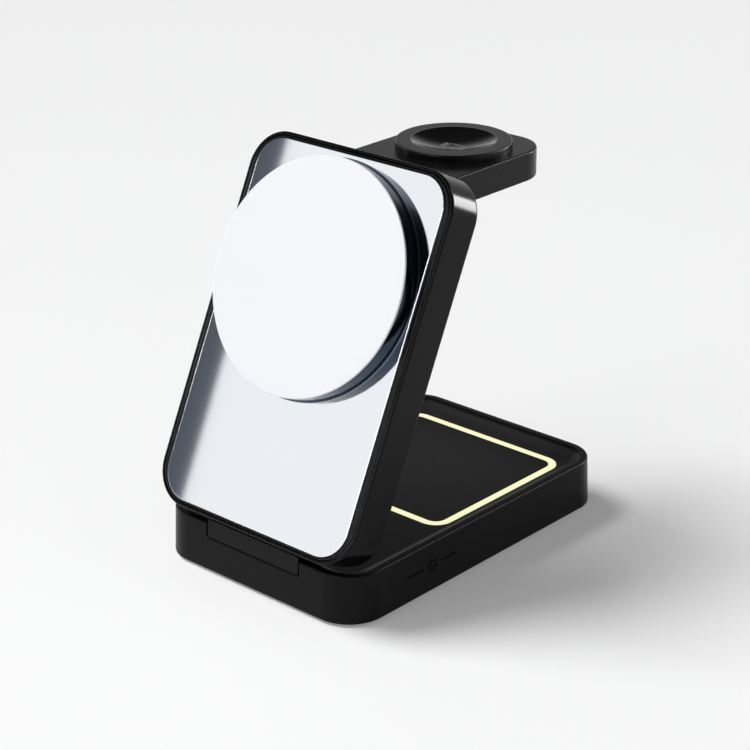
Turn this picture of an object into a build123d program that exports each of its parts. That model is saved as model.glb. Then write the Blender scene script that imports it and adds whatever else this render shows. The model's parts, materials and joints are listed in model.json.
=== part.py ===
"""Folding charging stand: a base with a lit tray, a leaning panel with a raised disc, and a level watch arm.

Millimetres. X points right, Y points back, Z points up from the table. The origin is on the table, under the
middle of the whole stand.
"""
import os
from math import cos, radians, sin, tan

from build123d import *

os.makedirs("parts", exist_ok=True)

# Clearances
fit_gap = 0.05
seat_gap = 0.15
run_gap = 0.05
swing_gap = 0.35
tol = 0.01

# Base
base_width = 66.2
base_depth = 98.2
base_height = 12.5
base_corner = 10.0
base_draft = 2.3
base_wall_thick = 1.8
rim_width = 2.1
rim_round = 0.5
tray_depth = 2.4
tray_slope = 45.0
tray_round = 4.0
tray_floor_thick = 1.4
foot_height = 0.8
foot_radius = 3.8
foot_inset = 7.4
foot_seat_depth = 0.6
cover_thick = 1.6
cover_boss_radius = 1.7
cover_boss_front = 15.5
cover_boss_back = 20.0
cover_screw_radius = 0.75
cover_head_radius = 1.3
cover_head_edge = 0.6
cover_head_thick = 0.9
cover_screw_length = 5.0

# Light ring and earbud pad
light_margin = 8.2
light_from_back = 9.1
light_length = 48.9
light_line_width = 2.1
light_corner = 4.0
light_lip_width = 1.4
light_lip_thick = 0.8
lamp_length = 1.6
lamp_width = 0.9
lamp_height = 0.6
lamps_per_side = 5
lamp_board_thick = 0.8
earbud_coil_radius = 15.0
earbud_coil_hole_radius = 7.0
earbud_coil_thick = 1.0
earbud_ferrite_size = 34.0
earbud_ferrite_thick = 0.8

# Main board and power inlet
board_width = 40.0
board_length = 36.0
board_thick = 1.0
board_post_radius = 1.5
board_post_height = 0.4
board_post_inset = 2.5
chip_size = 7.0
chip_height = 1.4
small_part_length = 3.2
small_part_width = 2.5
small_part_spacing = 5.0
small_part_count = 4
inlet_width = 8.94
inlet_height = 3.2
inlet_wall_thick = 0.3
inlet_depth = 6.5
inlet_sink = 0.3
tongue_width = 6.7
tongue_thick = 0.7
tongue_length = 4.6

# Touch sensor behind the brightness symbol on the right side
touch_from_front = 29.1
touch_length = 16.0
touch_height = 5.0
touch_thick = 0.4

# Hinge between the base and the panel
hinge_setback = 5.2
block_width = 30.6
block_gap = 0.5
block_corner = 0.4
shelf_height = 8.4
shelf_thick = 2.4
shelf_rim_width = 2.0
block_depth = 9.0
block_lip_width = 1.4
block_rise_height = 1.1
knuckle_radius = 3.2
pin_radius = 1.5
pin_length = 49.0
sleeve_radius = 2.6
sleeve_length = 6.0
block_screw_radius = 1.0
block_head_radius = 1.9
block_head_thick = 0.9
block_screw_spacing = 18.0
block_screw_length = 5.0

# Panel
panel_width = 65.0
panel_length = 95.75
panel_corner = 10.0
panel_lean = 64.6
fold_gap = 0.4
panel_wall_thick = 2.0
panel_back_thick = 1.5
panel_back_round = 1.0
lip_width = 0.8
lip_round = 0.5
groove_width = 0.2
face_side_margin = 2.4
face_beside_disc = 0.4
face_end_margin = 1.55
face_corner = 8.0
face_rise = 0.3
face_round = 0.25
bezel_thick = 1.4
bezel_ledge_width = 1.6
bezel_ledge_thick = 0.6
bezel_round = 0.2
wire_space = 0.6
wire_hole_radius = 4.0
cheek_height = 6.5
panel_board_width = 52.0
panel_board_thick = 1.0
panel_board_margin = 2.5
panel_rail_height = 1.0
panel_rail_width = 3.0

# Charging disc on the panel
disc_height = 4.95
disc_from_top = 32.25
disc_wall_thick = 1.3
disc_floor_thick = 0.8
disc_face_thick = 0.5
disc_round = 0.2
trim_width = 0.4
trim_height = 0.35
magnet_count = 16
magnet_spacing = 1.4
magnet_width = 4.4
magnet_thick = 2.0
magnet_edge_gap = 0.3
phone_coil_margin = 1.5
phone_coil_hole_radius = 10.0
phone_coil_thick = 1.3
phone_ferrite_gap = 1.0
phone_ferrite_thick = 0.7

# Watch arm
arm_width = 34.7
arm_thick = 7.5
arm_reach = 51.2
arm_corner = 10.0
arm_edge_round = 0.5
arm_top_thick = 1.2
arm_wall_thick = 2.0
arm_ledge_width = 1.0
arm_cover_thick = 1.2
arm_root_length = 6.0
arm_pivot_from_top = 9.0
arm_pin_radius = 1.25
arm_pin_length = 8.5
arm_pin_hold_length = 5.4
arm_boss_radius = 3.0
pocket_gap = 0.3
pocket_floor_thick = 0.8
pocket_wall_thick = 1.2
arm_screw_radius = 0.75
arm_head_radius = 1.5
arm_head_thick = 0.7
arm_screw_boss_radius = 1.7
arm_screw_length = 3.4
arm_screw_spacing = 20.0
arm_screw_from_pivot = 12.0

# Watch puck on the arm
puck_radius = 14.7
puck_height = 1.9
puck_from_pivot = 33.2
puck_spigot_radius = 12.9
puck_round = 0.35
dish_radius = 10.7
dish_depth = 2.2
dish_rim_width = 0.3
dish_flange_radius = 12.0
dish_flange_thick = 0.5
watch_coil_radius = 10.0
watch_coil_hole_radius = 4.6
watch_coil_thick = 1.2
watch_ferrite_thick = 0.6
watch_magnet_radius = 4.2
watch_magnet_thick = 1.8

# Heights and places that follow
lean_cos = cos(radians(panel_lean))
lean_sin = sin(radians(panel_lean))
panel_thick = pocket_gap + arm_thick + pocket_floor_thick + wire_space + bezel_thick
roll = panel_thick / 2
disc_radius = panel_width / 2 - face_side_margin - face_beside_disc - trim_width
front_reach = (roll - lip_round) * (lean_cos + lean_sin) + lip_round - hinge_setback
base_front = -(base_depth - front_reach) / 2
base_back = base_front + base_depth
base_mid = base_front + base_depth / 2
rim_z = foot_height + base_height
tray_z = rim_z - tray_depth
under_z = tray_z - tray_floor_thick
cover_z = foot_height + cover_thick
shelf_z = foot_height + shelf_height
draft_tan = tan(radians(base_draft))
top_inset = base_height * draft_tan
cavity_width = base_width - 2 * base_wall_thick
tray_inset = top_inset + rim_width

# Frames of the panel and the arm
hinge_y = base_front + hinge_setback
hinge_z = rim_z + fold_gap + roll
panel_plane = Plane(origin=(0, hinge_y, hinge_z), x_dir=(1, 0, 0), z_dir=(0, -lean_sin, lean_cos))
panel_side = Plane(origin=(0, hinge_y, hinge_z), x_dir=(0, lean_cos, lean_sin), z_dir=(1, 0, 0))
panel_axis = Axis((0, hinge_y, hinge_z), (0, -lean_sin, lean_cos))
panel_mid = panel_length / 2 - roll
panel_top = panel_length - roll
pivot_up = panel_top - arm_pivot_from_top
pivot_in = arm_thick / 2 - roll
arm_y = hinge_y + pivot_up * lean_cos - pivot_in * lean_sin
arm_z = hinge_z + pivot_up * lean_sin + pivot_in * lean_cos
arm_side = Plane(origin=(0, arm_y, arm_z), x_dir=(0, 1, 0), z_dir=(1, 0, 0))
base_side = Plane(origin=(0, base_front, 0), x_dir=(0, 1, 0), z_dir=(1, 0, 0))

# Places in the base
light_width = base_width - 2 * light_margin
light_mid = base_back - light_from_back - light_length / 2
light_low = under_z - light_lip_thick
lamp_low = light_low - lamp_height
lamp_board_low = lamp_low - lamp_board_thick
boss_x = cavity_width / 2 - cover_head_radius - cover_head_edge
boss_places = [
    (boss_x * side, y)
    for side in (-1, 1)
    for y in (base_front + cover_boss_front, base_back - cover_boss_back)
]
foot_x = base_width / 2 - foot_inset
foot_places = [
    (foot_x * side, y) for side in (-1, 1) for y in (base_front + foot_inset, base_back - foot_inset)
]
board_back = base_back - base_wall_thick - block_gap
board_mid = board_back - board_length / 2
board_low = cover_z + board_post_height
board_top = board_low + board_thick
post_places = [
    ((board_width / 2 - board_post_inset) * side, board_mid + (board_length / 2 - board_post_inset) * end)
    for side in (-1, 1)
    for end in (-1, 1)
]
inlet_z = board_top + inlet_height / 2
inlet_front = board_back - inlet_depth
inlet_mouth = base_back - (inlet_z - foot_height) * draft_tan - inlet_sink
notch_width = block_width + 2 * block_gap
notch_depth = block_depth + block_gap
block_screw_places = [(block_screw_spacing / 2 * side, base_front + hinge_setback) for side in (-1, 1)]

# Places in the panel and the arm
slot_radius = knuckle_radius + swing_gap
slot_half = block_width / 2 + block_gap
bezel_low = roll - bezel_thick
face_low = bezel_low + bezel_ledge_thick
face_top = roll + face_rise
face_width = panel_width - 2 * face_side_margin
face_length = panel_length - 2 * face_end_margin
pocket_width = arm_width + 2 * pocket_gap
pocket_depth = arm_thick + pocket_gap
pocket_low = pivot_up - arm_reach - pocket_gap
pocket_top_n = pocket_depth + pocket_floor_thick - roll
panel_board_up = cheek_height + panel_board_margin
panel_board_length = pocket_low - pocket_wall_thick - panel_board_margin - panel_board_up
back_n = panel_back_thick - roll
disc_up = panel_top - disc_from_top
disc_floor_n = face_top + disc_floor_thick
disc_front_n = face_top + disc_height
disc_face_n = disc_front_n - disc_face_thick
magnet_ring_radius = disc_radius - disc_wall_thick - magnet_edge_gap
phone_ferrite_radius = magnet_ring_radius - magnet_width - phone_ferrite_gap
phone_coil_radius = phone_ferrite_radius - phone_coil_margin
arm_bottom = arm_z - arm_thick / 2
arm_top = arm_z + arm_thick / 2
arm_cover_top = arm_bottom + arm_cover_thick
arm_roof = arm_top - arm_top_thick
arm_screw_places = [(arm_screw_spacing / 2 * side, arm_y + arm_screw_from_pivot) for side in (-1, 1)]
puck_y = arm_y + puck_from_pivot
puck_top = arm_top + puck_height
flange_low = arm_roof - dish_flange_thick
watch_coil_low = flange_low - watch_coil_thick
dish_sphere = (dish_radius**2 + dish_depth**2) / (2 * dish_depth)
dish_body_radius = dish_radius + dish_rim_width


def base_outline(inset):
    """Rounded outline of the base, set in from its lower edge."""
    with Locations((0, base_mid)):
        RectangleRounded(base_width - 2 * inset, base_depth - 2 * inset, base_corner - inset)


def light_outline(grow, mode=Mode.ADD):
    """Rounded outline of the light ring's centre line, grown by that much."""
    with Locations((0, light_mid)):
        RectangleRounded(light_width + 2 * grow, light_length + 2 * grow, light_corner + grow, mode=mode)


def panel_outline(inset):
    """Rounded outline of the panel, set in from its edge."""
    with Locations((0, panel_mid)):
        RectangleRounded(panel_width - 2 * inset, panel_length - 2 * inset, panel_corner - inset)


def face_outline(grow):
    """Rounded outline of the opening in the bezel, grown by that much."""
    with Locations((0, panel_mid)):
        RectangleRounded(face_width + 2 * grow, face_length + 2 * grow, face_corner + grow)


def arm_outline(start, inset):
    """Outline of the arm from a place along it to its round-cornered end, set in from its edge."""
    with Locations((0, arm_y + start + inset)):
        Rectangle(arm_width - 2 * inset, arm_reach - start - 2 * inset, align=(Align.CENTER, Align.MIN))
    fillet(vertices().group_by(Axis.Y)[-1], arm_corner - inset)


# Base shell: tapered body, tray with a concave wall, cavity, shelf and notch for the hinge bracket
with BuildPart() as base_shell:
    with BuildSketch(Plane.XY.offset(foot_height)):
        base_outline(0)
    extrude(amount=base_height, taper=base_draft)
    with BuildSketch(Plane.XY.offset(rim_z)):
        base_outline(tray_inset)
    extrude(amount=-tray_depth, taper=tray_slope, mode=Mode.SUBTRACT)
    fillet(base_shell.faces().sort_by(Axis.Z)[-1].edges(), rim_round)
    fillet(base_shell.edges().filter_by_position(Axis.Z, tray_z - tol, tray_z + tol), tray_round)
    with BuildSketch(Plane.XY.offset(foot_height)):
        base_outline(base_wall_thick)
    extrude(amount=under_z - foot_height, mode=Mode.SUBTRACT)
    with BuildSketch(Plane.XY.offset(cover_z)):
        with Locations(*boss_places):
            Circle(cover_boss_radius)
    extrude(amount=under_z - cover_z)
    with BuildSketch(Plane.XY.offset(cover_z)):
        with Locations(*boss_places):
            Circle(cover_screw_radius + fit_gap)
    extrude(amount=cover_screw_length, mode=Mode.SUBTRACT)
    with BuildSketch(Plane.XY.offset(shelf_z - shelf_thick)):
        with Locations((0, base_front + base_wall_thick / 2)):
            Rectangle(
                notch_width + 2 * shelf_rim_width,
                notch_depth + shelf_rim_width - base_wall_thick / 2,
                align=(Align.CENTER, Align.MIN),
            )
    extrude(amount=tray_z - shelf_z + shelf_thick)
    with BuildSketch(Plane.XZ.offset(-base_front - notch_depth)):
        with Locations((0, shelf_z)):
            RectangleRounded(
                notch_width, 2 * base_height, block_corner + block_gap, align=(Align.CENTER, Align.MIN)
            )
    extrude(amount=notch_depth + base_wall_thick, mode=Mode.SUBTRACT)
    with BuildSketch(Plane.XY.offset(shelf_z - shelf_thick)):
        with Locations(*block_screw_places):
            Circle(block_screw_radius + fit_gap)
    extrude(amount=shelf_thick, mode=Mode.SUBTRACT)
    with BuildSketch(Plane.XY.offset(under_z)):
        light_outline(light_line_width / 2)
    extrude(amount=tray_floor_thick, mode=Mode.SUBTRACT)
    with BuildSketch(Plane.XZ.offset(-base_back)):
        with Locations((0, inlet_z)):
            SlotOverall(inlet_width + 2 * seat_gap, inlet_height + 2 * seat_gap)
    extrude(amount=2 * base_wall_thick, both=True, mode=Mode.SUBTRACT)
base_shell.part.label = "base_shell"
export_step(base_shell.part, "parts/base_shell.step")

with BuildPart() as base_cover:
    with BuildSketch(Plane.XY.offset(foot_height)):
        base_outline(base_wall_thick + seat_gap)
    extrude(amount=cover_thick)
    with BuildSketch(Plane.XY.offset(foot_height)):
        with Locations(*foot_places):
            Circle(foot_radius)
    extrude(amount=foot_seat_depth, mode=Mode.SUBTRACT)
    with BuildSketch(Plane.XY.offset(foot_height)):
        with Locations(*boss_places):
            Circle(cover_head_radius + fit_gap)
    extrude(amount=cover_head_thick, mode=Mode.SUBTRACT)
    with BuildSketch(Plane.XY.offset(foot_height)):
        with Locations(*boss_places):
            Circle(cover_screw_radius + fit_gap)
    extrude(amount=cover_thick, mode=Mode.SUBTRACT)
    with BuildSketch(Plane.XY.offset(cover_z)):
        with Locations(*post_places):
            Circle(board_post_radius)
    extrude(amount=board_post_height)
base_cover.part.label = "base_cover"
export_step(base_cover.part, "parts/base_cover.step")

with BuildPart() as rubber_feet:
    with BuildSketch(Plane.XY):
        with Locations(*foot_places):
            Circle(foot_radius)
    extrude(amount=foot_height + foot_seat_depth)
    chamfer(rubber_feet.edges().filter_by_position(Axis.Z, -tol, tol), foot_height / 4)
rubber_feet.part.label = "rubber_feet"
export_step(rubber_feet.part, "parts/rubber_feet.step")

with BuildPart() as cover_screws:
    with BuildSketch(Plane.XY.offset(foot_height)):
        with Locations(*boss_places):
            Circle(cover_head_radius)
    extrude(amount=cover_head_thick)
    with BuildSketch(Plane.XY.offset(foot_height + cover_head_thick)):
        with Locations(*boss_places):
            Circle(cover_screw_radius)
    extrude(amount=cover_screw_length)
    with BuildSketch(Plane.XY.offset(foot_height)):
        with Locations(*boss_places):
            Rectangle(cover_head_radius * 1.2, cover_head_radius * 0.25)
            Rectangle(cover_head_radius * 0.25, cover_head_radius * 1.2)
    extrude(amount=cover_head_thick / 2, mode=Mode.SUBTRACT)
cover_screws.part.label = "cover_screws"
export_step(cover_screws.part, "parts/cover_screws.step")

# Light ring: a guide with a lip under the tray floor, lamps, and the board that carries them
with BuildPart() as light_guide:
    with BuildSketch(Plane.XY.offset(light_low)):
        light_outline(light_line_width / 2 + light_lip_width)
        light_outline(-light_line_width / 2 - light_lip_width, Mode.SUBTRACT)
    extrude(amount=light_lip_thick)
    with BuildSketch(Plane.XY.offset(under_z)):
        light_outline(light_line_width / 2 - fit_gap)
        light_outline(fit_gap - light_line_width / 2, Mode.SUBTRACT)
    extrude(amount=tray_floor_thick)
light_guide.part.label = "light_guide"
export_step(light_guide.part, "parts/light_guide.step")

with BuildPart() as lamps:
    with BuildSketch(Plane.XY.offset(lamp_low)):
        for end in (-1, 1):
            with Locations((0, light_mid + light_length / 2 * end)):
                with GridLocations((light_width - 2 * light_corner) / lamps_per_side, 1, lamps_per_side, 1):
                    Rectangle(lamp_length, lamp_width)
            with Locations((light_width / 2 * end, light_mid)):
                with GridLocations(1, (light_length - 2 * light_corner) / lamps_per_side, 1, lamps_per_side):
                    Rectangle(lamp_width, lamp_length)
    extrude(amount=lamp_height)
lamps.part.label = "lamps"
export_step(lamps.part, "parts/lamps.step")

with BuildPart() as lamp_board:
    with BuildSketch(Plane.XY.offset(lamp_board_low)):
        light_outline(light_line_width / 2)
        light_outline(-light_line_width / 2, Mode.SUBTRACT)
    extrude(amount=lamp_board_thick)
lamp_board.part.label = "lamp_board"
export_step(lamp_board.part, "parts/lamp_board.step")

with BuildPart() as earbud_pad:
    with BuildSketch(Plane.XY.offset(under_z)):
        light_outline(-light_line_width / 2)
    extrude(amount=tray_floor_thick)
earbud_pad.part.label = "earbud_pad"
export_step(earbud_pad.part, "parts/earbud_pad.step")

with BuildPart() as earbud_coil:
    with BuildSketch(Plane.XY.offset(under_z - earbud_coil_thick)):
        with Locations((0, light_mid)):
            Circle(earbud_coil_radius)
            Circle(earbud_coil_hole_radius, mode=Mode.SUBTRACT)
    extrude(amount=earbud_coil_thick)
earbud_coil.part.label = "earbud_coil"
export_step(earbud_coil.part, "parts/earbud_coil.step")

with BuildPart() as earbud_ferrite:
    with BuildSketch(Plane.XY.offset(under_z - earbud_coil_thick - earbud_ferrite_thick)):
        with Locations((0, light_mid)):
            Rectangle(earbud_ferrite_size, earbud_ferrite_size)
    extrude(amount=earbud_ferrite_thick)
earbud_ferrite.part.label = "earbud_ferrite"
export_step(earbud_ferrite.part, "parts/earbud_ferrite.step")

# Main board, the parts on it, and the power inlet in the back wall
with BuildPart() as main_board:
    with BuildSketch(Plane.XY.offset(board_low)):
        with Locations((0, board_mid)):
            Rectangle(board_width, board_length)
    extrude(amount=board_thick)
main_board.part.label = "main_board"
export_step(main_board.part, "parts/main_board.step")

with BuildPart() as board_parts:
    with BuildSketch(Plane.XY.offset(board_top)):
        with Locations((-board_width / 4, board_mid - board_length / 6), (board_width / 4, board_mid)):
            Rectangle(chip_size, chip_size)
        with Locations((0, board_mid - board_length / 3)):
            with GridLocations(small_part_spacing, 1, small_part_count, 1):
                Rectangle(small_part_length, small_part_width)
    extrude(amount=chip_height)
board_parts.part.label = "board_parts"
export_step(board_parts.part, "parts/board_parts.step")

with BuildPart() as inlet_shell:
    with BuildSketch(Plane.XZ.offset(-inlet_mouth)):
        with Locations((0, inlet_z)):
            SlotOverall(inlet_width, inlet_height)
    extrude(amount=inlet_mouth - inlet_front)
    with BuildSketch(Plane.XZ.offset(-inlet_mouth)):
        with Locations((0, inlet_z)):
            SlotOverall(inlet_width - 2 * inlet_wall_thick, inlet_height - 2 * inlet_wall_thick)
    extrude(amount=inlet_mouth - inlet_front - inlet_wall_thick, mode=Mode.SUBTRACT)
inlet_shell.part.label = "inlet_shell"
export_step(inlet_shell.part, "parts/inlet_shell.step")

with BuildPart() as inlet_tongue:
    with BuildSketch(Plane.XZ.offset(-inlet_front - inlet_wall_thick)):
        with Locations((0, inlet_z)):
            Rectangle(tongue_width, tongue_thick)
    extrude(amount=-tongue_length)
inlet_tongue.part.label = "inlet_tongue"
export_step(inlet_tongue.part, "parts/inlet_tongue.step")

with BuildPart() as touch_sensor:
    with BuildSketch(Plane.YZ.offset(cavity_width / 2 - touch_thick)):
        with Locations((base_front + touch_from_front, (cover_z + under_z) / 2)):
            Rectangle(touch_length, touch_height)
    extrude(amount=touch_thick)
touch_sensor.part.label = "touch_sensor"
export_step(touch_sensor.part, "parts/touch_sensor.step")

# Hinge: bracket in the base's notch, its screws, the pin, and the panel's friction sleeves
with BuildPart() as hinge_bracket:
    with BuildSketch(base_side):
        with BuildLine():
            Polyline(
                (hinge_setback - knuckle_radius, hinge_z),
                (hinge_setback - knuckle_radius, rim_z + block_rise_height / 2),
                ((base_height + block_rise_height) * draft_tan, rim_z + block_rise_height),
                ((shelf_height + block_gap) * draft_tan, shelf_z + block_gap),
                (block_depth, shelf_z + block_gap),
                (block_depth, rim_z - block_gap),
                (hinge_setback + knuckle_radius, rim_z),
                (hinge_setback + knuckle_radius, hinge_z),
            )
            ThreePointArc(
                (hinge_setback + knuckle_radius, hinge_z),
                (hinge_setback, hinge_z + knuckle_radius),
                (hinge_setback - knuckle_radius, hinge_z),
            )
        make_face()
        with Locations((hinge_setback, hinge_z)):
            Circle(pin_radius, mode=Mode.SUBTRACT)
    extrude(amount=block_width / 2, both=True)
    fillet(hinge_bracket.faces().sort_by(Axis.Z)[0].edges().filter_by(Axis.Y), block_corner)
    with BuildSketch(Plane.XY.offset(shelf_z)):
        with Locations((0, base_front + block_lip_width)):
            Rectangle(
                block_width - 4 * block_corner, block_depth - block_lip_width, align=(Align.CENTER, Align.MIN)
            )
    extrude(amount=block_gap)
    with BuildSketch(Plane.XY.offset(shelf_z)):
        with Locations(*block_screw_places):
            Circle(block_screw_radius + fit_gap)
    extrude(amount=block_screw_length, mode=Mode.SUBTRACT)
hinge_bracket.part.label = "hinge_bracket"
export_step(hinge_bracket.part, "parts/hinge_bracket.step")

with BuildPart() as bracket_screws:
    with BuildSketch(Plane.XY.offset(shelf_z - shelf_thick - block_head_thick)):
        with Locations(*block_screw_places):
            Circle(block_head_radius)
    extrude(amount=block_head_thick)
    with BuildSketch(Plane.XY.offset(shelf_z - shelf_thick)):
        with Locations(*block_screw_places):
            Circle(block_screw_radius)
    extrude(amount=shelf_thick + block_screw_length - seat_gap)
bracket_screws.part.label = "bracket_screws"
export_step(bracket_screws.part, "parts/bracket_screws.step")

with BuildPart() as hinge_pin:
    with BuildSketch(panel_side):
        Circle(pin_radius)
    extrude(amount=pin_length / 2, both=True)
hinge_pin.part.label = "hinge_pin"
export_step(hinge_pin.part, "parts/hinge_pin.step")

with BuildPart() as friction_sleeves:
    for side in (-1, 1):
        with BuildSketch(panel_side.offset(slot_half * side)):
            Circle(sleeve_radius)
            Circle(pin_radius + run_gap, mode=Mode.SUBTRACT)
        extrude(amount=sleeve_length * side)
friction_sleeves.part.label = "friction_sleeves"
export_step(friction_sleeves.part, "parts/friction_sleeves.step")

# Panel shell: lower end rolled about the hinge pin, slot for the bracket, pocket for the arm, board cavity
with BuildPart() as panel_shell:
    with BuildSketch(panel_plane.offset(-roll)):
        panel_outline(0)
    extrude(amount=panel_thick)
    fillet(panel_shell.faces().sort_by(panel_axis)[-1].edges(), lip_round)
    fillet(panel_shell.faces().sort_by(panel_axis)[0].edges(), panel_back_round)
    with BuildSketch(panel_side):
        with Locations((-roll, -roll)):
            Rectangle(2 * roll, 2 * roll)
        Circle(roll, mode=Mode.SUBTRACT)
    extrude(amount=panel_width, both=True, mode=Mode.SUBTRACT)
    with BuildSketch(panel_plane.offset(roll)):
        panel_outline(lip_width)
    extrude(amount=-bezel_thick, mode=Mode.SUBTRACT)
    with BuildSketch(panel_plane.offset(pocket_top_n)):
        panel_outline(panel_wall_thick)
        with Locations((0, cheek_height)):
            Rectangle(panel_width, panel_length, align=(Align.CENTER, Align.MAX), mode=Mode.SUBTRACT)
    extrude(amount=bezel_low - pocket_top_n, mode=Mode.SUBTRACT)
    with BuildSketch(panel_plane.offset(back_n)):
        panel_outline(panel_wall_thick)
        with Locations((0, cheek_height)):
            Rectangle(panel_width, panel_length, align=(Align.CENTER, Align.MAX), mode=Mode.SUBTRACT)
        with Locations((0, pocket_low - pocket_wall_thick)):
            Rectangle(
                pocket_width + 2 * pocket_wall_thick,
                panel_length,
                align=(Align.CENTER, Align.MIN),
                mode=Mode.SUBTRACT,
            )
    extrude(amount=pocket_top_n - back_n, mode=Mode.SUBTRACT)
    with BuildSketch(panel_plane.offset(-roll)):
        with Locations((0, pocket_low)):
            RectangleRounded(
                pocket_width, panel_length, arm_corner + pocket_gap, align=(Align.CENTER, Align.MIN)
            )
    extrude(amount=pocket_depth, mode=Mode.SUBTRACT)
    for side in (-1, 1):
        with BuildSketch(panel_side.offset(pocket_width / 2 * side)):
            with Locations((pivot_up, pivot_in)):
                Circle(arm_boss_radius)
        extrude(amount=arm_pin_length * side / 2)
        with BuildSketch(panel_side.offset(pocket_width / 2 * side)):
            with Locations((pivot_up, pivot_in)):
                Circle(arm_pin_radius + run_gap)
        extrude(amount=(arm_pin_length - arm_pin_hold_length) * side, mode=Mode.SUBTRACT)
        with BuildSketch(panel_plane.offset(back_n)):
            with Locations(((panel_board_width - panel_rail_width) / 2 * side, panel_board_up)):
                Rectangle(panel_rail_width, panel_board_length, align=(Align.CENTER, Align.MIN))
        extrude(amount=panel_rail_height)
    with BuildSketch(panel_side):
        Circle(slot_radius)
        with BuildLine():
            Polyline(
                (slot_radius, 0),
                (slot_radius, -panel_thick),
                (-panel_thick, -panel_thick),
                (
                    -slot_radius * lean_cos - panel_thick * lean_sin,
                    slot_radius * lean_sin - panel_thick * lean_cos,
                ),
                (-slot_radius * lean_cos, slot_radius * lean_sin),
                (0, 0),
                close=True,
            )
        make_face()
    extrude(amount=slot_half, both=True, mode=Mode.SUBTRACT)
    with BuildSketch(panel_side):
        Circle(sleeve_radius)
    extrude(amount=slot_half + sleeve_length, both=True, mode=Mode.SUBTRACT)
    with BuildSketch(panel_side):
        Circle(pin_radius + run_gap)
    extrude(amount=pin_length / 2 + swing_gap, both=True, mode=Mode.SUBTRACT)
panel_shell.part.label = "panel_shell"
export_step(panel_shell.part, "parts/panel_shell.step")

with BuildPart() as panel_bezel:
    with BuildSketch(panel_plane.offset(bezel_low)):
        panel_outline(lip_width + groove_width)
    extrude(amount=bezel_thick)
    with BuildSketch(panel_plane.offset(face_low)):
        face_outline(0)
    extrude(amount=bezel_thick, mode=Mode.SUBTRACT)
    fillet(panel_bezel.faces().sort_by(panel_axis)[-1].edges(), bezel_round)
    with BuildSketch(panel_plane.offset(bezel_low)):
        face_outline(-bezel_ledge_width)
    extrude(amount=bezel_ledge_thick, mode=Mode.SUBTRACT)
panel_bezel.part.label = "panel_bezel"
export_step(panel_bezel.part, "parts/panel_bezel.step")

with BuildPart() as face_plate:
    with BuildSketch(panel_plane.offset(face_low)):
        face_outline(-fit_gap)
        with Locations((0, disc_up)):
            Circle(wire_hole_radius, mode=Mode.SUBTRACT)
    extrude(amount=face_top - face_low)
    fillet(face_plate.faces().sort_by(panel_axis)[-1].edges().sort_by(SortBy.LENGTH)[1:], face_round)
face_plate.part.label = "face_plate"
export_step(face_plate.part, "parts/face_plate.step")

with BuildPart() as panel_board:
    with BuildSketch(panel_plane.offset(back_n + panel_rail_height)):
        with Locations((0, panel_board_up)):
            Rectangle(panel_board_width, panel_board_length, align=(Align.CENTER, Align.MIN))
    extrude(amount=panel_board_thick)
panel_board.part.label = "panel_board"
export_step(panel_board.part, "parts/panel_board.step")

# Charging disc on the face plate
with BuildPart() as disc_trim:
    with BuildSketch(panel_plane.offset(face_top)):
        with Locations((0, disc_up)):
            Circle(disc_radius + trim_width)
            Circle(disc_radius, mode=Mode.SUBTRACT)
    extrude(amount=trim_height)
disc_trim.part.label = "disc_trim"
export_step(disc_trim.part, "parts/disc_trim.step")

with BuildPart() as disc_housing:
    with BuildSketch(panel_plane.offset(face_top)):
        with Locations((0, disc_up)):
            Circle(disc_radius)
    extrude(amount=disc_height - disc_face_thick)
    with BuildSketch(panel_plane.offset(disc_floor_n)):
        with Locations((0, disc_up)):
            Circle(disc_radius - disc_wall_thick)
    extrude(amount=disc_height, mode=Mode.SUBTRACT)
    with BuildSketch(panel_plane.offset(face_top)):
        with Locations((0, disc_up)):
            Circle(wire_hole_radius)
    extrude(amount=disc_floor_thick, mode=Mode.SUBTRACT)
disc_housing.part.label = "disc_housing"
export_step(disc_housing.part, "parts/disc_housing.step")

with BuildPart() as disc_face:
    with BuildSketch(panel_plane.offset(disc_face_n)):
        with Locations((0, disc_up)):
            Circle(disc_radius)
    extrude(amount=disc_face_thick)
    fillet(disc_face.faces().sort_by(panel_axis)[-1].edges(), disc_round)
disc_face.part.label = "disc_face"
export_step(disc_face.part, "parts/disc_face.step")

with BuildPart() as magnet_ring:
    with BuildSketch(panel_plane.offset(disc_floor_n)):
        with Locations((0, disc_up)):
            Circle(magnet_ring_radius)
            Circle(magnet_ring_radius - magnet_width, mode=Mode.SUBTRACT)
            with PolarLocations(magnet_ring_radius - magnet_width / 2, magnet_count):
                Rectangle(2 * magnet_width, magnet_spacing, mode=Mode.SUBTRACT)
    extrude(amount=magnet_thick)
magnet_ring.part.label = "magnet_ring"
export_step(magnet_ring.part, "parts/magnet_ring.step")

with BuildPart() as phone_ferrite:
    with BuildSketch(panel_plane.offset(disc_floor_n)):
        with Locations((0, disc_up)):
            Circle(phone_ferrite_radius)
            Circle(wire_hole_radius, mode=Mode.SUBTRACT)
    extrude(amount=phone_ferrite_thick)
phone_ferrite.part.label = "phone_ferrite"
export_step(phone_ferrite.part, "parts/phone_ferrite.step")

with BuildPart() as phone_coil:
    with BuildSketch(panel_plane.offset(disc_floor_n + phone_ferrite_thick)):
        with Locations((0, disc_up)):
            Circle(phone_coil_radius)
            Circle(phone_coil_hole_radius, mode=Mode.SUBTRACT)
    extrude(amount=phone_coil_thick)
phone_coil.part.label = "phone_coil"
export_step(phone_coil.part, "parts/phone_coil.step")

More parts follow.
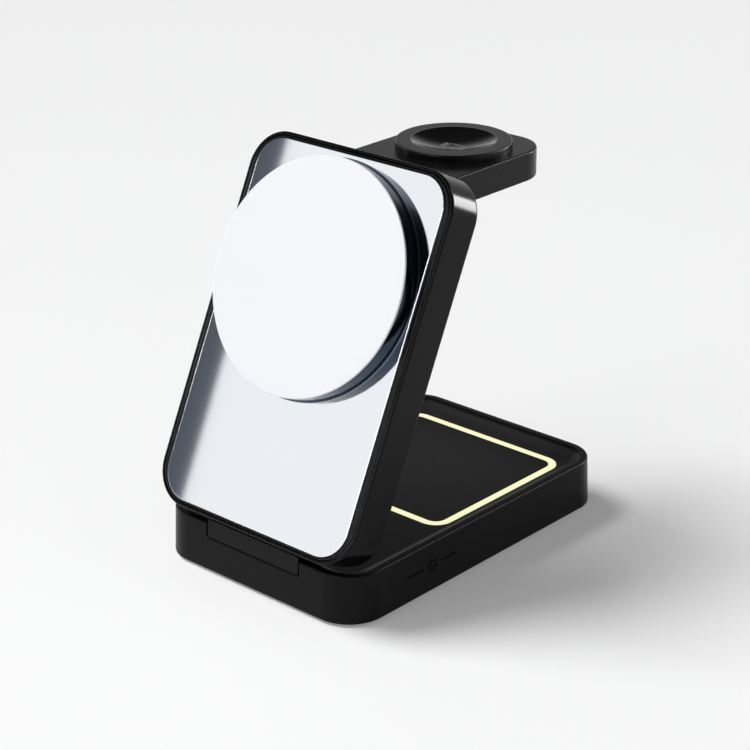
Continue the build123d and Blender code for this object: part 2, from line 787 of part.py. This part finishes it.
# Watch arm: shell with a rounded root about its pivot, cover, screws and pivot pins
with BuildPart() as arm_shell:
    with BuildSketch(Plane.XY.offset(arm_bottom)):
        arm_outline(0, 0)
    extrude(amount=arm_thick)
    rim_edges = arm_shell.faces().sort_by(Axis.Z)[-1].edges() + arm_shell.faces().sort_by(Axis.Z)[0].edges()
    fillet(rim_edges.sort_by(Axis.Y)[2:], arm_edge_round)
    with BuildSketch(arm_side):
        Circle(arm_thick / 2)
    extrude(amount=arm_width / 2, both=True)
    with BuildSketch(Plane.XY.offset(arm_bottom)):
        arm_outline(arm_root_length, arm_ledge_width)
    extrude(amount=arm_cover_thick, mode=Mode.SUBTRACT)
    with BuildSketch(Plane.XY.offset(arm_cover_top)):
        arm_outline(arm_root_length, arm_wall_thick)
    extrude(amount=arm_roof - arm_cover_top, mode=Mode.SUBTRACT)
    with BuildSketch(Plane.XY.offset(arm_cover_top)):
        with Locations(*arm_screw_places):
            Circle(arm_screw_boss_radius)
    extrude(amount=arm_roof - arm_cover_top)
    with BuildSketch(Plane.XY.offset(arm_cover_top)):
        with Locations(*arm_screw_places):
            Circle(arm_screw_radius + fit_gap)
    extrude(amount=arm_screw_length, mode=Mode.SUBTRACT)
    with BuildSketch(Plane.XY.offset(arm_roof)):
        with Locations((0, puck_y)):
            Circle(puck_spigot_radius + fit_gap)
    extrude(amount=arm_top_thick, mode=Mode.SUBTRACT)
    for side in (-1, 1):
        with BuildSketch(arm_side.offset(arm_width / 2 * side)):
            Circle(arm_pin_radius)
        extrude(amount=-arm_pin_hold_length * side, mode=Mode.SUBTRACT)
arm_shell.part.label = "arm_shell"
export_step(arm_shell.part, "parts/arm_shell.step")

with BuildPart() as arm_cover:
    with BuildSketch(Plane.XY.offset(arm_bottom)):
        arm_outline(arm_root_length, arm_ledge_width + seat_gap)
    extrude(amount=arm_cover_thick)
    with BuildSketch(Plane.XY.offset(arm_bottom)):
        with Locations(*arm_screw_places):
            Circle(arm_head_radius + fit_gap)
    extrude(amount=arm_head_thick, mode=Mode.SUBTRACT)
    with BuildSketch(Plane.XY.offset(arm_bottom)):
        with Locations(*arm_screw_places):
            Circle(arm_screw_radius + fit_gap)
    extrude(amount=arm_cover_thick, mode=Mode.SUBTRACT)
arm_cover.part.label = "arm_cover"
export_step(arm_cover.part, "parts/arm_cover.step")

with BuildPart() as arm_screws:
    with BuildSketch(Plane.XY.offset(arm_bottom)):
        with Locations(*arm_screw_places):
            Circle(arm_head_radius)
    extrude(amount=arm_head_thick)
    with BuildSketch(Plane.XY.offset(arm_bottom + arm_head_thick)):
        with Locations(*arm_screw_places):
            Circle(arm_screw_radius)
    extrude(amount=arm_cover_thick - arm_head_thick + arm_screw_length - seat_gap)
    with BuildSketch(Plane.XY.offset(arm_bottom)):
        with Locations(*arm_screw_places):
            Rectangle(arm_head_radius * 1.2, arm_head_radius * 0.25)
            Rectangle(arm_head_radius * 0.25, arm_head_radius * 1.2)
    extrude(amount=arm_head_thick / 2, mode=Mode.SUBTRACT)
arm_screws.part.label = "arm_screws"
export_step(arm_screws.part, "parts/arm_screws.step")

with BuildPart() as arm_pins:
    for side in (-1, 1):
        with BuildSketch(arm_side.offset((arm_width / 2 - arm_pin_hold_length) * side)):
            Circle(arm_pin_radius)
        extrude(amount=(arm_pin_length - seat_gap) * side)
arm_pins.part.label = "arm_pins"
export_step(arm_pins.part, "parts/arm_pins.step")

# Watch puck: ring on the arm, concave dish from below, coil, ferrite and magnet
with BuildPart() as puck_ring:
    with BuildSketch(Plane.XY.offset(arm_top)):
        with Locations((0, puck_y)):
            Circle(puck_radius)
    extrude(amount=puck_height)
    fillet(puck_ring.faces().sort_by(Axis.Z)[-1].edges(), puck_round)
    with BuildSketch(Plane.XY.offset(arm_roof)):
        with Locations((0, puck_y)):
            Circle(puck_spigot_radius)
    extrude(amount=arm_top_thick)
    with BuildSketch(Plane.XY.offset(arm_roof)):
        with Locations((0, puck_y)):
            Circle(dish_body_radius)
    extrude(amount=arm_top_thick + puck_height, mode=Mode.SUBTRACT)
puck_ring.part.label = "puck_ring"
export_step(puck_ring.part, "parts/puck_ring.step")

with BuildPart() as puck_dish:
    with BuildSketch(Plane.XY.offset(flange_low)):
        with Locations((0, puck_y)):
            Circle(dish_flange_radius)
    extrude(amount=dish_flange_thick)
    with BuildSketch(Plane.XY.offset(arm_roof)):
        with Locations((0, puck_y)):
            Circle(dish_body_radius)
    extrude(amount=puck_top - arm_roof)
    with Locations((0, puck_y, puck_top - dish_depth + dish_sphere)):
        Sphere(dish_sphere, mode=Mode.SUBTRACT)
puck_dish.part.label = "puck_dish"
export_step(puck_dish.part, "parts/puck_dish.step")

with BuildPart() as watch_coil:
    with BuildSketch(Plane.XY.offset(watch_coil_low)):
        with Locations((0, puck_y)):
            Circle(watch_coil_radius)
            Circle(watch_coil_hole_radius, mode=Mode.SUBTRACT)
    extrude(amount=watch_coil_thick)
watch_coil.part.label = "watch_coil"
export_step(watch_coil.part, "parts/watch_coil.step")

with BuildPart() as watch_ferrite:
    with BuildSketch(Plane.XY.offset(watch_coil_low - watch_ferrite_thick)):
        with Locations((0, puck_y)):
            Circle(watch_coil_radius)
            Circle(watch_coil_hole_radius, mode=Mode.SUBTRACT)
    extrude(amount=watch_ferrite_thick)
watch_ferrite.part.label = "watch_ferrite"
export_step(watch_ferrite.part, "parts/watch_ferrite.step")

with BuildPart() as watch_magnet:
    with BuildSketch(Plane.XY.offset(flange_low - watch_magnet_thick)):
        with Locations((0, puck_y)):
            Circle(watch_magnet_radius)
    extrude(amount=watch_magnet_thick)
watch_magnet.part.label = "watch_magnet"
export_step(watch_magnet.part, "parts/watch_magnet.step")
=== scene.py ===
"""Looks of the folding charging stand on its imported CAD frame: finishes, symbols, light and camera."""
import json
import math

import bmesh
import bpy
from mathutils import Matrix, Vector


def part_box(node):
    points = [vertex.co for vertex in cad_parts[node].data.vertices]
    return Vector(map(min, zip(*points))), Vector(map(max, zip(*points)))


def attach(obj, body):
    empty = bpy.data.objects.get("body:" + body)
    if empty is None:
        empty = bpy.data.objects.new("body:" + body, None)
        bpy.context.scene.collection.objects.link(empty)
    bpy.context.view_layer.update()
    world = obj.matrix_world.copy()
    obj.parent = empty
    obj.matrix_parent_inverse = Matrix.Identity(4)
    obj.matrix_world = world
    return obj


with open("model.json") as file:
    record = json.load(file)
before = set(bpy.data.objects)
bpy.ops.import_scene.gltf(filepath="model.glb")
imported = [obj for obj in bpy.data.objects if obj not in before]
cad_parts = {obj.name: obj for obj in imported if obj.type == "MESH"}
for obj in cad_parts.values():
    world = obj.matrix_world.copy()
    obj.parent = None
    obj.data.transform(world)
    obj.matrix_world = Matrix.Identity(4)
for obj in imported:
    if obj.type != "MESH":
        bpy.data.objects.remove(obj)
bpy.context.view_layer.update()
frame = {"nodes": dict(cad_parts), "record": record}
nodes = frame["nodes"]
MM = 0.001


# Shader helpers

noise_detail = 2.0
noise_rough = 0.55
noise_low = 0.3
noise_high = 0.7


def node_tree(name):
    """A new material with its Principled shader; returns (material, nodes, links, shader)."""
    material = bpy.data.materials.new(name)
    material.use_nodes = True
    tree = material.node_tree
    return material, tree.nodes, tree.links, tree.nodes["Principled BSDF"]


def noise(tree_nodes, links, coords, scale):
    """Noise texture on object coordinates, features of about 1/scale metres."""
    tex = tree_nodes.new("ShaderNodeTexNoise")
    tex.inputs["Scale"].default_value = scale
    tex.inputs["Detail"].default_value = noise_detail
    tex.inputs["Roughness"].default_value = noise_rough
    links.new(coords.outputs["Object"], tex.inputs["Vector"])
    return tex.outputs["Fac"]


def spread(tree_nodes, links, value, low, high):
    """Maps the usual range of a noise value to low..high."""
    remap = tree_nodes.new("ShaderNodeMapRange")
    remap.inputs["From Min"].default_value = noise_low
    remap.inputs["From Max"].default_value = noise_high
    remap.inputs["To Min"].default_value = low
    remap.inputs["To Max"].default_value = high
    links.new(value, remap.inputs["Value"])
    return remap.outputs["Result"]


def two_tone(tree_nodes, links, value, first, second):
    """Colour that goes from the first tone to the second as the value goes from 0 to 1."""
    mix = tree_nodes.new("ShaderNodeMix")
    mix.data_type = "RGBA"
    mix.inputs["A"].default_value = (*first, 1)
    mix.inputs["B"].default_value = (*second, 1)
    links.new(value, mix.inputs["Factor"])
    return mix.outputs["Result"]


def combine(tree_nodes, links, operation, first, second):
    """Math on a socket and a second socket or number."""
    node = tree_nodes.new("ShaderNodeMath")
    node.operation = operation
    links.new(first, node.inputs[0])
    if isinstance(second, float):
        node.inputs[1].default_value = second
    else:
        links.new(second, node.inputs[1])
    return node.outputs["Value"]


def z_of(tree_nodes, links, vector):
    """Z part of a vector socket."""
    parts = tree_nodes.new("ShaderNodeSeparateXYZ")
    links.new(vector, parts.inputs["Vector"])
    return parts.outputs["Z"]


# Finishes

drift_scale = 45.0
gloss_drift = 0.1
grain_strength = 0.25
coat_rough = 0.08
bevel_samples = 8


def moulded(
    name,
    colour,
    rough,
    specular=0.5,
    metallic=0.0,
    coat=0.0,
    grain=3800,
    grain_depth=3e-5,
    tone_drift=0.12,
    edge_round=0.0,
):
    """Moulded or painted surface: fine grain in the bump, slow drift in tone, and edges shaded rounder."""
    material, tn, links, shader = node_tree(name)
    coords = tn.new("ShaderNodeTexCoord")
    drift = noise(tn, links, coords, drift_scale)
    fine = noise(tn, links, coords, grain)
    dark = [part * (1 - tone_drift) for part in colour]
    light = [part * (1 + tone_drift) for part in colour]
    links.new(two_tone(tn, links, drift, dark, light), shader.inputs["Base Color"])
    gloss = spread(tn, links, fine, rough * (1 - gloss_drift), rough * (1 + gloss_drift))
    links.new(gloss, shader.inputs["Roughness"])
    bump = tn.new("ShaderNodeBump")
    bump.inputs["Strength"].default_value = grain_strength
    bump.inputs["Distance"].default_value = grain_depth
    links.new(fine, bump.inputs["Height"])
    links.new(bump.outputs["Normal"], shader.inputs["Normal"])
    if edge_round:
        soft_edge = tn.new("ShaderNodeBevel")
        soft_edge.samples = bevel_samples
        soft_edge.inputs["Radius"].default_value = edge_round * MM
        links.new(soft_edge.outputs["Normal"], bump.inputs["Normal"])
    shader.inputs["Specular IOR Level"].default_value = specular
    shader.inputs["Metallic"].default_value = metallic
    shader.inputs["Coat Weight"].default_value = coat
    shader.inputs["Coat Roughness"].default_value = coat_rough
    return material


def glowing(name, colour, strength):
    """Frosted light guide: lit from below, a little uneven along its length."""
    material, tn, links, shader = node_tree(name)
    drift = noise(tn, links, tn.new("ShaderNodeTexCoord"), 120.0)
    dim = tuple(0.92 * part for part in colour)
    links.new(two_tone(tn, links, drift, dim, colour), shader.inputs["Emission Color"])
    links.new(spread(tn, links, drift, 0.4, 0.5), shader.inputs["Roughness"])
    shader.inputs["Base Color"].default_value = (0.05, 0.048, 0.03, 1)
    shader.inputs["Specular IOR Level"].default_value = 0.1
    shader.inputs["Emission Strength"].default_value = strength
    return material


def paint_tray_light(material, level, facing, gain):
    """Makes what faces up below a level paler by a gain: painted light on the floor and wall of the tray.
    """
    tn = material.node_tree.nodes
    links = material.node_tree.links
    shade = tn["Principled BSDF"].inputs["Base Color"]
    plain = shade.links[0].from_socket
    coords = tn.new("ShaderNodeTexCoord")
    low = combine(tn, links, "LESS_THAN", z_of(tn, links, coords.outputs["Object"]), level)
    upward = combine(tn, links, "GREATER_THAN", z_of(tn, links, coords.outputs["Normal"]), facing)
    inside = combine(tn, links, "MULTIPLY", low, upward)
    scale = combine(tn, links, "ADD", combine(tn, links, "MULTIPLY", inside, gain - 1.0), 1.0)
    painted_light = tn.new("ShaderNodeVectorMath")
    painted_light.operation = "SCALE"
    links.new(plain, painted_light.inputs["Vector"])
    links.new(scale, painted_light.inputs["Scale"])
    links.new(painted_light.outputs["Vector"], shade)


black = (0.0042, 0.0042, 0.0045)
deep_black = (0.0026, 0.0025, 0.0025)
smooth = 1e-5
glossy = 5e-6
even = 0.015
looks = {
    "base_black": dict(colour=black, rough=0.34, specular=0.1, edge_round=0.5),
    "bracket_black": dict(colour=black, rough=0.34, specular=0.12),
    "pad_black": dict(colour=(0.009, 0.009, 0.0095), rough=0.48, specular=0.2, grain=3200),
    "panel_black": dict(colour=deep_black, rough=0.18, specular=0.12, grain_depth=smooth, edge_round=0.6),
    "bezel_black": dict(
        colour=(0.0035, 0.0037, 0.0043), rough=0.19, specular=0.22, grain_depth=smooth, edge_round=0.8
    ),
    "arm_black": dict(colour=black, rough=0.28, specular=0.15),
    "puck_ring": dict(colour=black, rough=0.32, specular=0.22),
    "puck_dish": dict(colour=(0.003, 0.003, 0.0032), rough=0.14, specular=0.6, grain_depth=glossy),
    "face_silver": dict(
        colour=(0.87, 0.88, 0.9), rough=0.04, metallic=1.0, grain_depth=1e-6, tone_drift=even
    ),
    "disc_face": dict(
        colour=(0.8, 0.81, 0.83), rough=0.24, specular=0.3, coat=0.12, grain_depth=6e-6, tone_drift=even
    ),
    "disc_wall": dict(colour=(0.03, 0.045, 0.075), rough=0.15, metallic=1.0, grain_depth=4e-6),
    "disc_trim": dict(colour=(0.11, 0.135, 0.175), rough=0.19, metallic=1.0, grain_depth=4e-6),
    "foot_rubber": dict(colour=(0.33, 0.33, 0.33), rough=0.8, specular=0.3, grain=2600, grain_depth=8e-5),
    "steel": dict(colour=(0.54, 0.54, 0.55), rough=0.31, metallic=1.0, grain_depth=smooth),
    "coil_wire": dict(colour=(0.6, 0.27, 0.13), rough=0.35, metallic=0.8),
    "ferrite": dict(colour=(0.025, 0.025, 0.025), rough=0.55, specular=0.4),
    "magnet": dict(colour=(0.64, 0.64, 0.66), rough=0.24, metallic=1.0, grain_depth=smooth),
    "circuit_board": dict(colour=(0.012, 0.08, 0.035), rough=0.4),
    "chip": dict(colour=(0.015, 0.015, 0.015), rough=0.55, specular=0.4),
    "lamp": dict(colour=(0.78, 0.62, 0.17), rough=0.25, grain_depth=smooth),
}
finishes = {name: moulded(name, **look) for name, look in looks.items()}
finishes["light_guide"] = glowing("light_guide", (0.95, 0.92, 0.58), 1.05)

base_low, base_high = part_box("base_shell")
# Painted light: the tray's up-facing floor and wall are painted five times paler in colour
tray_below_rim = 0.6 * MM
paint_tray_light(finishes["base_black"], base_high.z - tray_below_rim, 0.5, 5.0)

slot_of = {row["node"]: row["material_slot"] for row in frame["record"]["subparts"]}
for name, node in nodes.items():
    node.data.materials.clear()
    node.data.materials.append(finishes[slot_of[name]])


# Printed symbols, in millimetres

ink_rise = 0.02
ink_sink = 0.02


def circle(radius, steps=48):
    """Closed round path."""
    turns = [2 * math.pi * step / steps for step in range(steps)]
    return [(radius * math.cos(turn), radius * math.sin(turn)) for turn in turns]


def rounded_box(width, height, corner, steps=6):
    """Closed path of a rectangle with round corners."""
    path = []
    for quarter, (side, end) in enumerate(((1, 1), (-1, 1), (-1, -1), (1, -1))):
        hub = (side * (width / 2 - corner), end * (height / 2 - corner))
        for step in range(steps + 1):
            turn = math.pi / 2 * (quarter + step / steps)
            path.append((hub[0] + corner * math.cos(turn), hub[1] + corner * math.sin(turn)))
    return path


def strip(mesh, path, closed, line, place):
    """Thin raised strip of one width along a path."""
    count = len(path)
    rows = []
    for step, point in enumerate(path):
        before = path[step - 1] if closed or step else point
        after = path[(step + 1) % count] if closed or step < count - 1 else point
        ahead = Vector((after[0] - before[0], after[1] - before[1])).normalized()
        side = Vector((-ahead.y, ahead.x)) * line / 2
        row = []
        for off, high in ((side, -ink_sink), (side, ink_rise), (-side, ink_rise), (-side, -ink_sink)):
            row.append(mesh.verts.new(place(point[0] + off.x, point[1] + off.y, high)))
        rows.append(row)
    for step in range(count if closed else count - 1):
        here = rows[step]
        there = rows[(step + 1) % count]
        for edge in range(4):
            mesh.faces.new((here[edge], here[edge - 1], there[edge - 1], there[edge]))
    if not closed:
        mesh.faces.new(rows[0])
        mesh.faces.new(rows[-1][::-1])


def printed(name, body, closed_paths, open_paths, line, place, ink):
    """Ink lines along flat paths; place maps (across, along, height) to the surface."""
    mesh = bmesh.new()
    for path in closed_paths:
        strip(mesh, path, True, line, place)
    for path in open_paths:
        strip(mesh, path, False, line, place)
    bmesh.ops.recalc_face_normals(mesh, faces=mesh.faces)
    data = bpy.data.meshes.new(name)
    mesh.to_mesh(data)
    mesh.free()
    data.materials.append(ink)
    piece = bpy.data.objects.new(name, data)
    bpy.context.collection.objects.link(piece)
    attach(piece, body)


dark_ink = moulded("dark_ink", (0.0016, 0.0016, 0.0017), 0.55, 0.02)
soft_ink = moulded("soft_ink", (0.018, 0.018, 0.0185), 0.46, 0.2)
pale_ink = moulded("pale_ink", (0.15, 0.152, 0.156), 0.4, 0.4)

# Brightness symbol between two touch dashes, on the drafted right side of the base
sensor_low, sensor_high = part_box("touch_sensor")
side_draft = math.radians(2.3)
symbol_height = 7.3
symbol_y = (sensor_low.y + sensor_high.y) / 2 / MM
symbol_x = base_high.x / MM - (symbol_height - base_low.z / MM) * math.tan(side_draft)
sun_radius = 1.0
ray_reach = (1.5, 2.2)
ray_count = 8
ray_line = 0.42
dash_reach = (3.2, 9.1)
dash_line = 0.5


def on_side(along, up, out):
    """Point on the base's right side, about the middle of the symbol."""
    across = symbol_x - up * math.sin(side_draft) + out * math.cos(side_draft)
    height = symbol_height + up * math.cos(side_draft) + out * math.sin(side_draft)
    return Vector((across, symbol_y + along, height)) * MM


rays = []
for step in range(ray_count):
    turn = 2 * math.pi / ray_count * (step + 0.5)
    rays.append([(math.cos(turn) * reach, math.sin(turn) * reach) for reach in ray_reach])
printed("brightness_symbol", "base", [circle(sun_radius)], rays, ray_line, on_side, dark_ink)
dashes = [[(end * reach, 0) for reach in dash_reach] for end in (-1, 1)]
printed("touch_dashes", "base", [], dashes, dash_line, on_side, dark_ink)

# Earbud case in a ring, on the pad
pad_low, pad_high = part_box("earbud_pad")
pad_middle = (pad_low + pad_high) / 2 / MM
earbud_x = pad_middle.x - 2.0
earbud_y = pad_middle.y + 0.8
earbud_ring = 4.4
case_width = 4.4
case_height = 3.4
case_corner = 1.2
lid_height = 0.5
earbud_line = 0.32


def on_pad(across, along, up):
    """Point on the earbud pad, about the middle of the symbol."""
    return Vector((earbud_x + across, earbud_y + along, pad_high.z / MM + up)) * MM


earbud_paths = [circle(earbud_ring), rounded_box(case_width, case_height, case_corner)]
lid = [(-case_width / 2, lid_height), (case_width / 2, lid_height)]
printed("earbud_symbol", "base", earbud_paths, [lid], earbud_line, on_pad, soft_ink)

# Watch outline with two strap ends, in the dish
dish_low, dish_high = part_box("puck_dish")
dish_x = (dish_low.x + dish_high.x) / 2 / MM
dish_y = (dish_low.y + dish_high.y) / 2 / MM
dish_radius = 10.7
dish_depth = 2.2
dish_sphere = (dish_radius**2 + dish_depth**2) / (2 * dish_depth)
dish_hub = dish_high.z / MM - dish_depth + dish_sphere
watch_width = 4.6
watch_height = 3.8
watch_corner = 1.1
watch_line = 0.4
strap_out = 3.0
strap_half = 1.4
strap_line = 0.9


def in_dish(across, along, up):
    """Point on the concave dish, about its middle."""
    drop = math.sqrt((dish_sphere - up) ** 2 - across**2 - along**2)
    return Vector((dish_x + across, dish_y + along, dish_hub - drop)) * MM


watch_case = rounded_box(watch_width, watch_height, watch_corner)
straps = [[(end * strap_out, along) for along in (-strap_half, 0.0, strap_half)] for end in (-1, 1)]
printed("watch_case_symbol", "arm", [watch_case], [], watch_line, in_dish, pale_ink)
printed("watch_strap_symbol", "arm", [], straps, strap_line, in_dish, pale_ink)


# Floor: camera, glossy and transmission rays see a share of it as plain white; its shadows stay

floor_size = 60
floor_dark = (0.96, 0.96, 0.96)
floor_light = (0.98, 0.98, 0.98)
floor_glow = 0.2
bpy.ops.mesh.primitive_plane_add(size=floor_size, location=(0, 0, 0))
floor = bpy.context.object
floor.name = "floor"
paint, fn, fl, floor_shader = node_tree("floor")
floor_drift = noise(fn, fl, fn.new("ShaderNodeTexCoord"), 6.0)
fl.new(two_tone(fn, fl, floor_drift, floor_dark, floor_light), floor_shader.inputs["Base Color"])
floor_shader.inputs["Roughness"].default_value = 0.9
floor_shader.inputs["Specular IOR Level"].default_value = 0.1
rays_seen = fn.new("ShaderNodeLightPath").outputs
seen = rays_seen["Is Camera Ray"]
for ray in ("Is Glossy Ray", "Is Transmission Ray"):
    seen = combine(fn, fl, "MAXIMUM", seen, rays_seen[ray])
blend = fn.new("ShaderNodeMixShader")
fl.new(combine(fn, fl, "MULTIPLY", seen, floor_glow), blend.inputs["Fac"])
fl.new(floor_shader.outputs["BSDF"], blend.inputs[1])
fl.new(fn.new("ShaderNodeEmission").outputs["Emission"], blend.inputs[2])
fl.new(blend.outputs["Shader"], fn["Material Output"].inputs["Surface"])
floor.data.materials.append(paint)


# World: pale near the horizon, dark overhead, with a dim slate patch at the front left

horizon = (1.0, 1.0, 1.0)
overhead = (0.03, 0.031, 0.034)
overhead_from = 0.55
slate = (0.085, 0.1, 0.125)
slate_way = Vector((-0.78, -0.58, 0.22)).normalized()
slate_edge = (0.8, 0.95)
world = bpy.data.worlds.new("studio")
bpy.context.scene.world = world
world.use_nodes = True
wn = world.node_tree.nodes
wl = world.node_tree.links


def smooth_step(value, low, high):
    """0 below low, 1 above high, smooth between."""
    step = wn.new("ShaderNodeMapRange")
    step.interpolation_type = "SMOOTHSTEP"
    step.inputs["From Min"].default_value = low
    step.inputs["From Max"].default_value = high
    wl.new(value, step.inputs["Value"])
    return step.outputs["Result"]


direction = wn.new("ShaderNodeTexCoord").outputs["Generated"]
sky = two_tone(wn, wl, smooth_step(z_of(wn, wl, direction), 0.0, overhead_from), horizon, overhead)
near_slate = wn.new("ShaderNodeVectorMath")
near_slate.operation = "DOT_PRODUCT"
near_slate.inputs[1].default_value = slate_way
wl.new(direction, near_slate.inputs[0])
patched = two_tone(wn, wl, smooth_step(near_slate.outputs["Value"], *slate_edge), horizon, slate)
wl.new(sky, patched.node.inputs["A"])
wl.new(patched, wn["Background"].inputs["Color"])


# Lights


def softbox(name, place, target, up, size, watts):
    """Rectangular area light that points at a target, its height along up; hidden from the camera."""
    data = bpy.data.lights.new(name, "AREA")
    data.shape = "RECTANGLE"
    data.size, data.size_y = size
    data.energy = watts
    lamp = bpy.data.objects.new(name, data)
    bpy.context.collection.objects.link(lamp)
    away = (Vector(place) - Vector(target)).normalized()
    side = Vector(up).cross(away).normalized()
    turn = Matrix((side, away.cross(side), away)).transposed().to_4x4()
    lamp.matrix_world = Matrix.Translation(place) @ turn
    lamp.visible_camera = False
    return lamp


# Soft sun for the floor and the matt surfaces, kept out of the reflections
sun_data = bpy.data.lights.new("key", "SUN")
sun_data.energy = 2.75
sun_data.angle = math.radians(30)
sun = bpy.data.objects.new("key", sun_data)
bpy.context.collection.objects.link(sun)
sun.visible_glossy = False
sun.rotation_euler = Vector((-0.52, -0.24, 0.82)).to_track_quat("Z", "Y").to_euler()

# Large card in front of the face, whose near edge runs along the panel's slope
panel_lean = math.radians(25.4)
slope = Vector((0, math.sin(panel_lean), math.cos(panel_lean)))
card_way = Vector((-0.65, -0.7, 0.27)).normalized()
card_side = slope.cross(card_way).normalized()
card_size = (0.75, 0.9)
card_edge = Vector((-0.427, -0.46, 0.185)) + card_side * 0.004
card_place = card_edge + card_side * card_size[0] / 2 + slope * 0.25
softbox("card", card_place, card_place - card_way, slope, card_size, watts=1.85)

# Reflectors that only glint in the edges and bends, and leave the floor and the matt surfaces alone
upright = (0, 0, 1)
bend_line = (-0.7, 0.3, 0.64)
glints = [
    softbox("strip", (0.28, 0.66, 0.17), (0.03, 0, 0.09), bend_line, size=(0.12, 0.22), watts=2.4),
    softbox("edge", (0.38, 0.62, 0.6), (0.03, 0, 0.02), upright, size=(0.25, 0.25), watts=3.0),
    softbox("left", (-0.75, -0.28, 0.16), (-0.03, -0.02, 0.05), upright, size=(0.16, 0.2), watts=0.8),
    softbox("front", (0.12, -0.85, 0.38), (0.03, -0.02, 0.05), upright, size=(0.1, 0.5), watts=1.6),
]
for lamp in glints:
    lamp.visible_diffuse = False


# Camera at the photograph's place

camera_place = (0.33748, -0.37733, 0.25553)
right = Vector((0.7436, 0.6687, -0.0038)).normalized()
ahead = Vector((-0.6172, 0.6841, -0.3887))
ahead = (ahead - right * ahead.dot(right)).normalized()
camera_turn = Matrix((right, right.cross(ahead), -ahead)).transposed().to_4x4()
camera_data = bpy.data.cameras.new("camera")
camera_data.lens = 105.03
camera_data.sensor_width = 36.0
camera_data.clip_start = 0.01
camera = bpy.data.objects.new("camera", camera_data)
bpy.context.collection.objects.link(camera)
camera.matrix_world = Matrix.Translation(camera_place) @ camera_turn
bpy.context.scene.camera = camera

bpy.context.scene.view_settings.view_transform = "Standard"
